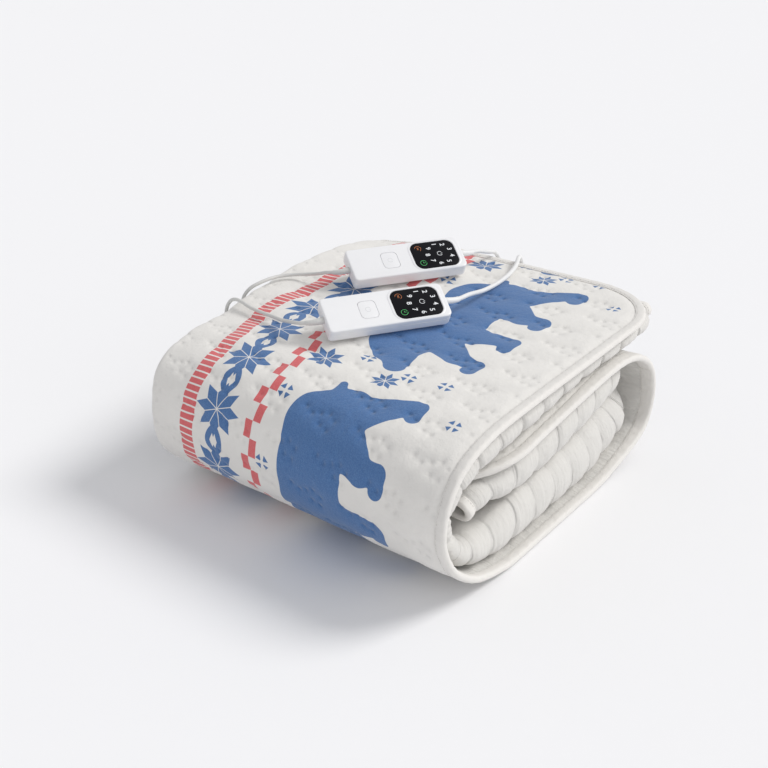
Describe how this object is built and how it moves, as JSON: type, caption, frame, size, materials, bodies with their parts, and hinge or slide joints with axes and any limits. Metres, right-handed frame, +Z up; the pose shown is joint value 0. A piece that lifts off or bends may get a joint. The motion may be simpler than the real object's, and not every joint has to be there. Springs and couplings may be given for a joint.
{
  "type": "heated mattress topper",
  "caption": "Quilted heated mattress topper with printed bedding cloth, folded into a thick bundle, with two bedside handsets lying on top and their mains cords coiled behind.",
  "frame": {"origin": "bottom centre of the folded topper with its handsets and lead sockets, on the surface it rests on", "axes": "+Z up; +X from the far side to the long bound edge that shows; +Y along the folded strip to its head end, where the mains cords go down; the main fold is at -Y"},
  "size_m": [0.4982, 0.6787, 0.2521],
  "materials": {
    "quilted_cloth": "matt quilted cotton, printed on one face",
    "binding_cloth": "matt woven binding",
    "white_plastic": "satin white",
    "black_display": "glossy black",
    "cord_jacket": "satin flexible jacket",
    "plug_pin": "plated"
  },
  "bodies": {
    "topper": {"quilted_topper": "quilted_cloth", "edge_binding": "binding_cloth", "housing_front": "white_plastic", "lead_front_socket": "white_plastic", "plug_front": "white_plastic", "housing_back": "white_plastic", "lead_back_socket": "white_plastic", "plug_back": "white_plastic", "display_front": "black_display", "display_back": "black_display", "lead_front": "cord_jacket", "lead_front_relief": "cord_jacket", "lead_front_socket_relief": "cord_jacket", "mains_front": "cord_jacket", "mains_front_relief": "cord_jacket", "mains_coil_front": "cord_jacket", "mains_tie_front": "cord_jacket", "mains_tail_front": "cord_jacket", "plug_relief_front": "cord_jacket", "lead_back": "cord_jacket", "lead_back_relief": "cord_jacket", "lead_back_socket_relief": "cord_jacket", "mains_back": "cord_jacket", "mains_back_relief": "cord_jacket", "mains_coil_back": "cord_jacket", "mains_tie_back": "cord_jacket", "mains_tail_back": "cord_jacket", "plug_relief_back": "cord_jacket", "plug_pin_front_a": "plug_pin", "plug_pin_front_b": "plug_pin", "plug_pin_back_a": "plug_pin", "plug_pin_back_b": "plug_pin"},
    "push_button_front": {"button_front": "white_plastic"},
    "push_button_back": {"button_back": "white_plastic"}
  },
  "joints": [
    {"name": "button_front_press", "type": "slide", "parent": "topper", "child": "push_button_front", "axis": [-0.386, 0.2673, -0.8829], "range_m": [0, 0.001], "stiffness_N_per_m": 800},
    {"name": "button_back_press", "type": "slide", "parent": "topper", "child": "push_button_back", "axis": [-0.386, 0.2673, -0.8829], "range_m": [0, 0.001], "stiffness_N_per_m": 800}
  ]
}
